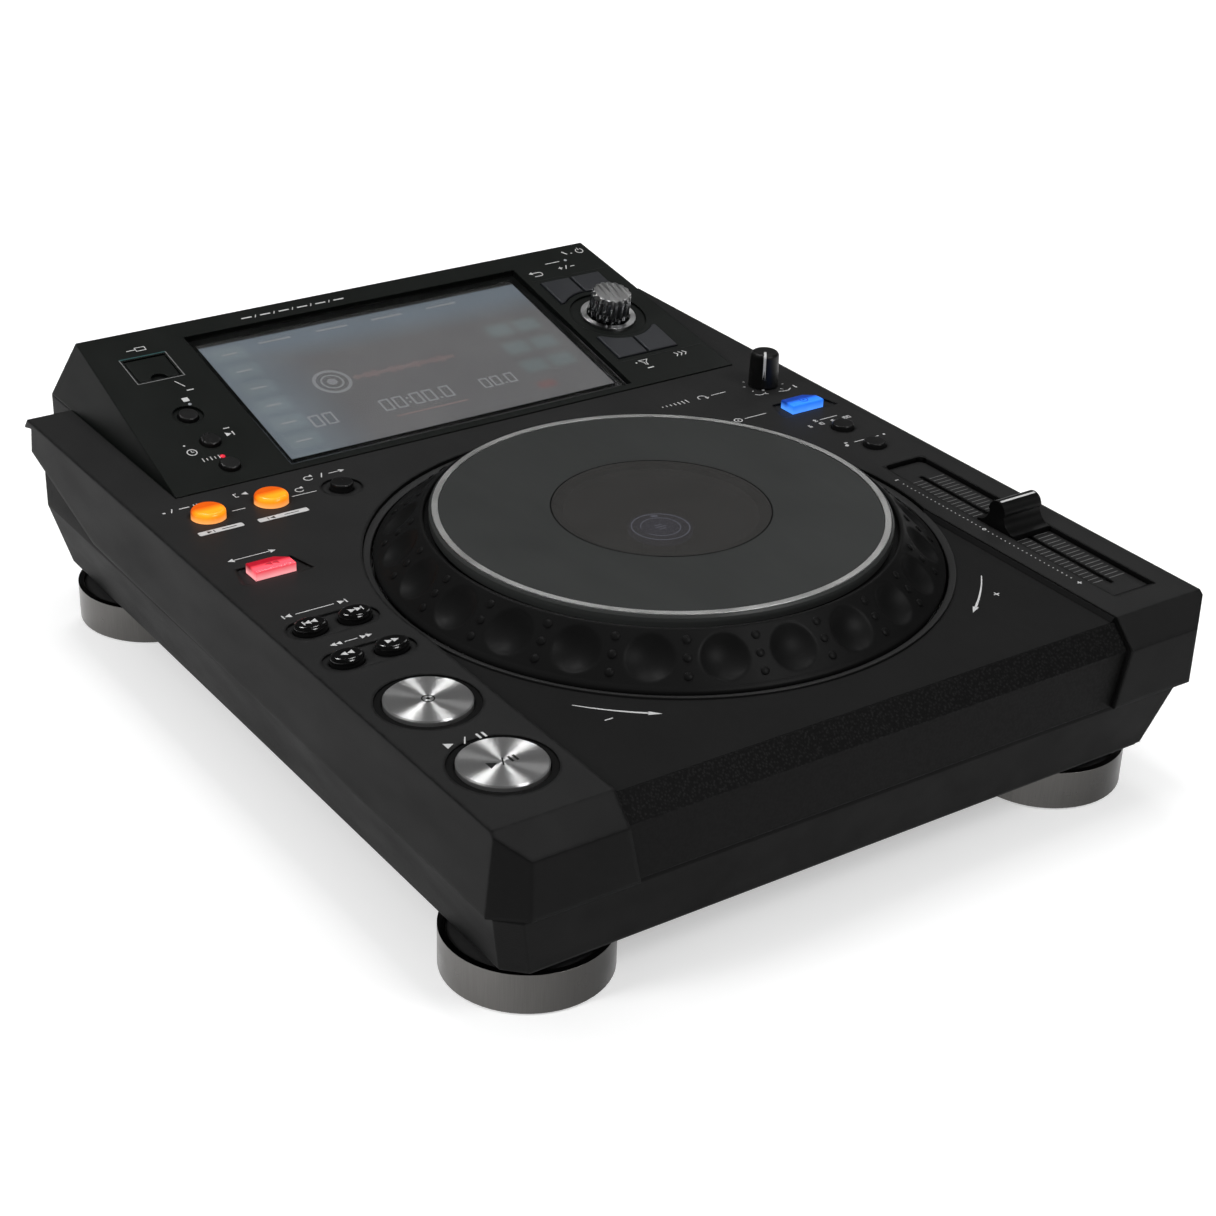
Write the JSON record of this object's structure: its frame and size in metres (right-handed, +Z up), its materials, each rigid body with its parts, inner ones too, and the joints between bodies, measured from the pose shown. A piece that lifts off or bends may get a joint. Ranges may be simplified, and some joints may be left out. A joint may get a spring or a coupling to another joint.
{
  "type": "dj media player",
  "caption": "Tabletop media player for live mixing: big jog wheel, sloping touch screen, turned play and cue discs, tempo fader, browse selector, lit keys and round feet.",
  "frame": {"origin": "middle of the footprint, on the surface that the feet stand on", "axes": "+X to the user's right, +Y to the back with the screen, +Z up"},
  "size_m": [0.306, 0.3844, 0.1074],
  "materials": {
    "deck": "fine satin grain",
    "tub": "matt",
    "sheet": "satin powder coat",
    "grain": "leather grain",
    "housing": "satin",
    "clear": "clear, slightly hazed",
    "display": "dark display",
    "socket_black": "matt",
    "socket_metal": "bright tin plate",
    "board": "solder resist",
    "chassis": "plain",
    "rim": "satin",
    "plate": "fine satin",
    "silver": "bright",
    "knob_black": "soft touch",
    "fader_black": "satin",
    "disc_metal": "turned",
    "gloss_black": "polished",
    "amber": "lit, translucent",
    "red": "lit, translucent",
    "blue": "lit, translucent",
    "key_grey": "satin",
    "foot_rubber": "matt",
    "foot_metal": "brushed gunmetal",
    "screw": "black zinc"
  },
  "bodies": {
    "case": {"upper_case": "deck", "lower_case": "tub", "base_plate": "sheet", "centre_panel": "grain", "front_trim": "grain", "screen_housing": "housing", "touch_glass": "clear", "display_module": "display", "rear_panel": "sheet", "power_inlet": "socket_black", "network_socket": "socket_metal", "usb_b_socket": "socket_metal", "line_out_jacks": "socket_metal", "usb_port": "socket_metal", "main_board": "board", "power_board": "board", "left_key_board": "board", "right_key_board": "board", "jog_chassis": "chassis", "jog_bearing": "chassis", "jog_display": "display", "speed_pot": "chassis", "tempo_fader_body": "chassis", "tempo_scale_plate": "deck", "transport_rings": "gloss_black", "selector_encoder": "chassis", "foot_bases": "foot_rubber", "foot_rings": "foot_metal", "case_screws": "screw"},
    "jog_wheel": {"jog_rim": "rim", "jog_plate": "plate", "jog_trim_ring": "silver", "jog_window": "clear"},
    "speed_dial": {"speed_knob": "knob_black"},
    "tempo_slider": {"tempo_cap": "fader_black", "tempo_carriage": "fader_black"},
    "usb_flap": {"usb_door": "housing"},
    "selector_stem": {"selector_shaft": "chassis"},
    "selector_dial": {"selector_knob": "gloss_black"},
    "play_key": {"play_button": "disc_metal"},
    "cue_key": {"cue_button": "disc_metal"},
    "track_back_key": {"track_back_button": "gloss_black"},
    "track_forward_key": {"track_forward_button": "gloss_black"},
    "search_back_key": {"search_back_button": "gloss_black"},
    "search_forward_key": {"search_forward_button": "gloss_black"},
    "direction_key": {"direction_button": "red"},
    "loop_in_key": {"loop_in_button": "amber"},
    "loop_out_key": {"loop_out_button": "amber"},
    "reloop_key": {"reloop_button": "key_grey"},
    "jog_mode_key": {"jog_mode_button": "blue"},
    "tempo_range_key": {"tempo_range_button": "key_grey"},
    "master_tempo_key": {"master_tempo_button": "key_grey"},
    "usb_stop_key": {"usb_stop_button": "key_grey"},
    "time_mode_key": {"time_mode_button": "key_grey"},
    "quantize_key": {"quantize_button": "key_grey"},
    "back_key": {"back_button": "key_grey"},
    "tag_key": {"tag_button": "key_grey"},
    "filter_key": {"filter_button": "key_grey"},
    "shortcut_key": {"shortcut_button": "key_grey"},
    "power_key": {"power_button": "gloss_black"}
  },
  "joints": [
    {"name": "jog_turn", "type": "hinge", "parent": "case", "child": "jog_wheel", "pos_m": [0.0028, -0.0535, 0.082], "axis": [0, 0, 1], "continuous": true},
    {"name": "speed_turn", "type": "hinge", "parent": "case", "child": "speed_dial", "pos_m": [0.1301, 0.0496, 0.082], "axis": [0, 0, 1], "range_deg": [-150, 150]},
    {"name": "tempo_slide", "type": "slide", "parent": "case", "child": "tempo_slider", "axis": [0, 1, 0], "range_m": [-0.05, 0.05]},
    {"name": "usb_flap_swing", "type": "hinge", "parent": "case", "child": "usb_flap", "pos_m": [-0.1028, 0.16281, 0.10096], "axis": [-1, 0, 0], "range_deg": [0, 100]},
    {"name": "selector_press", "type": "slide", "parent": "case", "child": "selector_stem", "axis": [0, 0.2143, -0.9768], "range_m": [0, 0.0008], "stiffness_N_per_m": 2000, "springref_m": -0.0006},
    {"name": "selector_turn", "type": "hinge", "parent": "selector_stem", "child": "selector_dial", "pos_m": [0.1017, 0.12606, 0.09392], "axis": [0, -0.2143, 0.9768], "continuous": true},
    {"name": "play_press", "type": "slide", "parent": "case", "child": "play_key", "axis": [0, 0, -1], "range_m": [0, 0.0011], "stiffness_N_per_m": 1000, "springref_m": -0.0005},
    {"name": "cue_press", "type": "slide", "parent": "case", "child": "cue_key", "axis": [0, 0, -1], "range_m": [0, 0.0011], "stiffness_N_per_m": 1000, "springref_m": -0.0005},
    {"name": "track_back_press", "type": "slide", "parent": "case", "child": "track_back_key", "axis": [0, 0, -1], "range_m": [0, 0.0012], "stiffness_N_per_m": 600, "springref_m": -0.0005},
    {"name": "track_forward_press", "type": "slide", "parent": "case", "child": "track_forward_key", "axis": [0, 0, -1], "range_m": [0, 0.0012], "stiffness_N_per_m": 600, "springref_m": -0.0005},
    {"name": "search_back_press", "type": "slide", "parent": "case", "child": "search_back_key", "axis": [0, 0, -1], "range_m": [0, 0.0012], "stiffness_N_per_m": 600, "springref_m": -0.0005},
    {"name": "search_forward_press", "type": "slide", "parent": "case", "child": "search_forward_key", "axis": [0, 0, -1], "range_m": [0, 0.0012], "stiffness_N_per_m": 600, "springref_m": -0.0005},
    {"name": "direction_press", "type": "slide", "parent": "case", "child": "direction_key", "axis": [0, 0, -1], "range_m": [0, 0.0012], "stiffness_N_per_m": 600, "springref_m": -0.0005},
    {"name": "loop_in_press", "type": "slide", "parent": "case", "child": "loop_in_key", "axis": [0, 0, -1], "range_m": [0, 0.0012], "stiffness_N_per_m": 600, "springref_m": -0.0005},
    {"name": "loop_out_press", "type": "slide", "parent": "case", "child": "loop_out_key", "axis": [0, 0, -1], "range_m": [0, 0.0012], "stiffness_N_per_m": 600, "springref_m": -0.0005},
    {"name": "reloop_press", "type": "slide", "parent": "case", "child": "reloop_key", "axis": [0, 0, -1], "range_m": [0, 0.0012], "stiffness_N_per_m": 600, "springref_m": -0.0005},
    {"name": "jog_mode_press", "type": "slide", "parent": "case", "child": "jog_mode_key", "axis": [0, 0, -1], "range_m": [0, 0.0012], "stiffness_N_per_m": 600, "springref_m": -0.0005},
    {"name": "tempo_range_press", "type": "slide", "parent": "case", "child": "tempo_range_key", "axis": [0, 0, -1], "range_m": [0, 0.0012], "stiffness_N_per_m": 600, "springref_m": -0.0005},
    {"name": "master_tempo_press", "type": "slide", "parent": "case", "child": "master_tempo_key", "axis": [0, 0, -1], "range_m": [0, 0.0012], "stiffness_N_per_m": 600, "springref_m": -0.0005},
    {"name": "usb_stop_press", "type": "slide", "parent": "case", "child": "usb_stop_key", "axis": [0, 0.2143, -0.9768], "range_m": [0, 0.0012], "stiffness_N_per_m": 600, "springref_m": -0.0005},
    {"name": "time_mode_press", "type": "slide", "parent": "case", "child": "time_mode_key", "axis": [0, 0.2143, -0.9768], "range_m": [0, 0.0012], "stiffness_N_per_m": 600, "springref_m": -0.0005},
    {"name": "quantize_press", "type": "slide", "parent": "case", "child": "quantize_key", "axis": [0, 0.2143, -0.9768], "range_m": [0, 0.0012], "stiffness_N_per_m": 600, "springref_m": -0.0005},
    {"name": "back_press", "type": "slide", "parent": "case", "child": "back_key", "axis": [0, 0.2143, -0.9768], "range_m": [0, 0.0012], "stiffness_N_per_m": 600, "springref_m": -0.0005},
    {"name": "tag_press", "type": "slide", "parent": "case", "child": "tag_key", "axis": [0, 0.2143, -0.9768], "range_m": [0, 0.0012], "stiffness_N_per_m": 600, "springref_m": -0.0005},
    {"name": "filter_press", "type": "slide", "parent": "case", "child": "filter_key", "axis": [0, 0.2143, -0.9768], "range_m": [0, 0.0012], "stiffness_N_per_m": 600, "springref_m": -0.0005},
    {"name": "shortcut_press", "type": "slide", "parent": "case", "child": "shortcut_key", "axis": [0, 0.2143, -0.9768], "range_m": [0, 0.0012], "stiffness_N_per_m": 600, "springref_m": -0.0005},
    {"name": "power_press", "type": "slide", "parent": "case", "child": "power_key", "axis": [0, -1, 0], "range_m": [0, 0.0025], "stiffness_N_per_m": 600, "springref_m": -0.0005}
  ]
}
